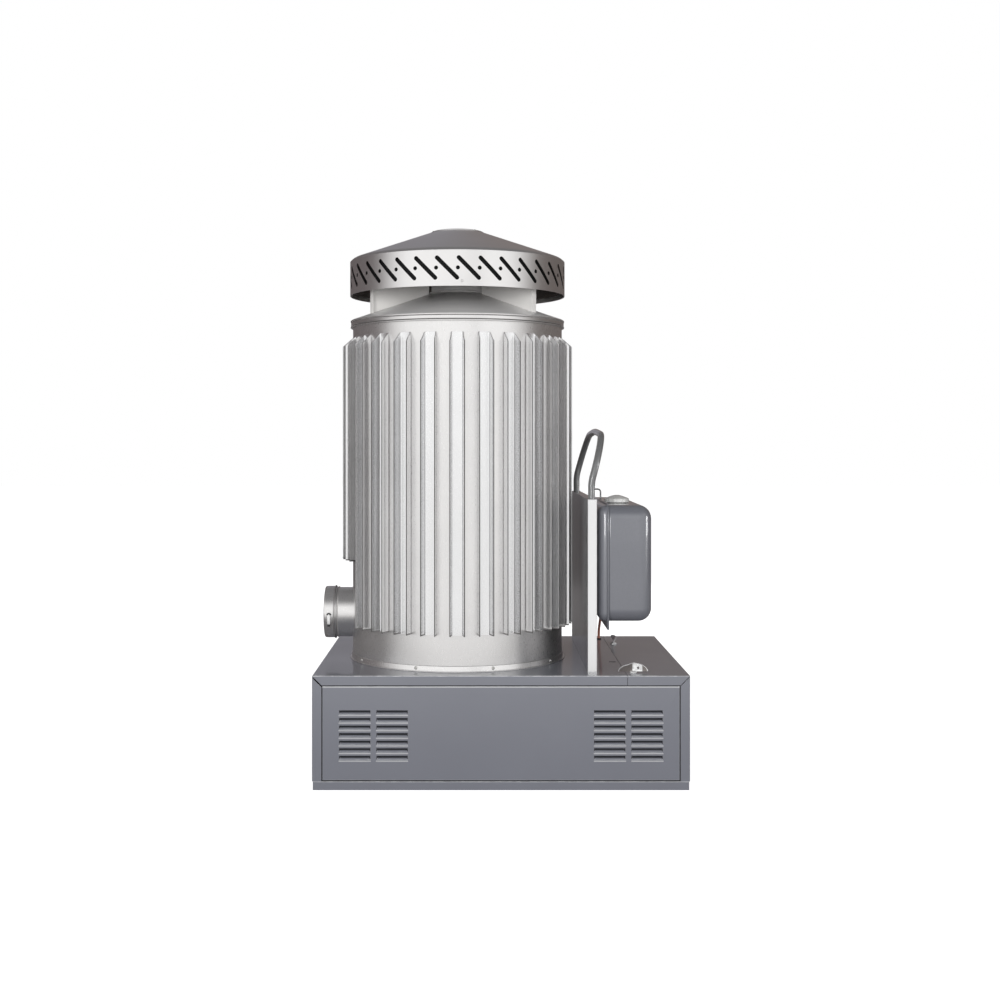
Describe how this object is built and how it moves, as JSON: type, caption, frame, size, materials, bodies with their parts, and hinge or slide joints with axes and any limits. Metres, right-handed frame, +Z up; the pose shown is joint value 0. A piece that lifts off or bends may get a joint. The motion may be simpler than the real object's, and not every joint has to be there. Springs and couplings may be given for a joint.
{
  "type": "diesel space heater",
  "caption": "Upright diesel heater: finned round body under a slotted hood on a louvred cabinet, with a side fuel tank, carrying handle and flue outlet.",
  "frame": {"origin": "on the floor under the middle of the cabinet", "axes": "+X to the right seen from the louvred front, +Y to the back, +Z up"},
  "size_m": [0.87, 0.65, 1.3288],
  "materials": {
    "base_pan": "semi-gloss",
    "left_side_panel": "semi-gloss",
    "right_side_panel": "semi-gloss",
    "rear_panel": "semi-gloss",
    "top_plate": "gloss",
    "cover_ledge": "semi-gloss",
    "screw_receptacles": "zinc",
    "service_cover": "gloss",
    "cover_screw_front": "bright zinc",
    "cover_screw_rear": "bright zinc",
    "front_panel": "semi-gloss",
    "outer_casing": "satin",
    "base_ring": "bright",
    "heat_fins": "satin",
    "lower_cone": "satin",
    "outlet_neck": "satin",
    "hood_brackets": "satin",
    "hood_skirt": "satin",
    "hood_lid": "satin",
    "hood_cap": "satin",
    "flue_stub": "satin",
    "flue_clamp": "satin",
    "clamp_block": "zinc",
    "chamber_support": "dull",
    "combustion_chamber": "heat-tinted",
    "flame_tube": "heat-tinted",
    "burner_pot": "dull",
    "air_duct": "galvanised",
    "motor_bracket": "galvanised",
    "fan_motor": "semi-gloss",
    "fan_wheel": "cast",
    "tank_panel": "gloss",
    "handle_sockets": "matt",
    "handle_tube": "semi-gloss",
    "tank_inner_half": "gloss",
    "tank_outer_half": "gloss",
    "tank_spacers": "matt",
    "filler_neck": "zinc",
    "filler_cap": "zinc",
    "cap_seal": "matt",
    "breather_pipe": "satin",
    "outlet_fitting": "turned",
    "fuel_line": "drawn copper",
    "fuel_grommet": "matt",
    "fuel_regulator": "cast",
    "regulator_bracket": "galvanised",
    "feed_pipe": "drawn copper",
    "control_box": "matt",
    "power_inlet": "matt"
  },
  "bodies": {
    "heater": {"base_pan": "base_pan", "left_side_panel": "left_side_panel", "right_side_panel": "right_side_panel", "rear_panel": "rear_panel", "top_plate": "top_plate", "cover_ledge": "cover_ledge", "screw_receptacles": "screw_receptacles", "outer_casing": "outer_casing", "base_ring": "base_ring", "heat_fins": "heat_fins", "lower_cone": "lower_cone", "outlet_neck": "outlet_neck", "hood_brackets": "hood_brackets", "hood_skirt": "hood_skirt", "hood_lid": "hood_lid", "hood_cap": "hood_cap", "flue_stub": "flue_stub", "flue_clamp": "flue_clamp", "clamp_block": "clamp_block", "chamber_support": "chamber_support", "combustion_chamber": "combustion_chamber", "flame_tube": "flame_tube", "burner_pot": "burner_pot", "air_duct": "air_duct", "motor_bracket": "motor_bracket", "fan_motor": "fan_motor", "tank_panel": "tank_panel", "handle_sockets": "handle_sockets", "handle_tube": "handle_tube", "tank_inner_half": "tank_inner_half", "tank_outer_half": "tank_outer_half", "tank_spacers": "tank_spacers", "filler_neck": "filler_neck", "breather_pipe": "breather_pipe", "outlet_fitting": "outlet_fitting", "fuel_line": "fuel_line", "fuel_grommet": "fuel_grommet", "fuel_regulator": "fuel_regulator", "regulator_bracket": "regulator_bracket", "feed_pipe": "feed_pipe", "control_box": "control_box", "power_inlet": "power_inlet"},
    "front_panel": {"front_panel": "front_panel"},
    "service_cover": {"service_cover": "service_cover"},
    "front_cover_screw": {"cover_screw_front": "cover_screw_front"},
    "rear_cover_screw": {"cover_screw_rear": "cover_screw_rear"},
    "cap_seal": {"cap_seal": "cap_seal"},
    "filler_cap": {"filler_cap": "filler_cap"},
    "fan_wheel": {"fan_wheel": "fan_wheel"}
  },
  "joints": [
    {"name": "front_panel_pull", "type": "slide", "parent": "heater", "child": "front_panel", "axis": [0, -1, 0], "range_m": [0, 0.12]},
    {"name": "service_cover_lift", "type": "slide", "parent": "heater", "child": "service_cover", "axis": [0, 0, 1], "range_m": [0, 0.06]},
    {"name": "front_screw_turn", "type": "hinge", "parent": "service_cover", "child": "front_cover_screw", "pos_m": [0.308, -0.285, 0.263], "axis": [0, 0, 1], "range_deg": [0, 90]},
    {"name": "rear_screw_turn", "type": "hinge", "parent": "service_cover", "child": "rear_cover_screw", "pos_m": [0.308, 0.175, 0.263], "axis": [0, 0, 1], "range_deg": [0, 90]},
    {"name": "cap_lift", "type": "slide", "parent": "heater", "child": "cap_seal", "axis": [0, 0, 1], "range_m": [0, 0.04]},
    {"name": "cap_turn", "type": "hinge", "parent": "cap_seal", "child": "filler_cap", "pos_m": [0.284, -0.143, 0.66], "axis": [0, 0, 1], "range_deg": [0, 270]},
    {"name": "fan_spin", "type": "hinge", "parent": "heater", "child": "fan_wheel", "pos_m": [-0.104, -0.017, 0.18], "axis": [0, 0, 1], "continuous": true}
  ]
}
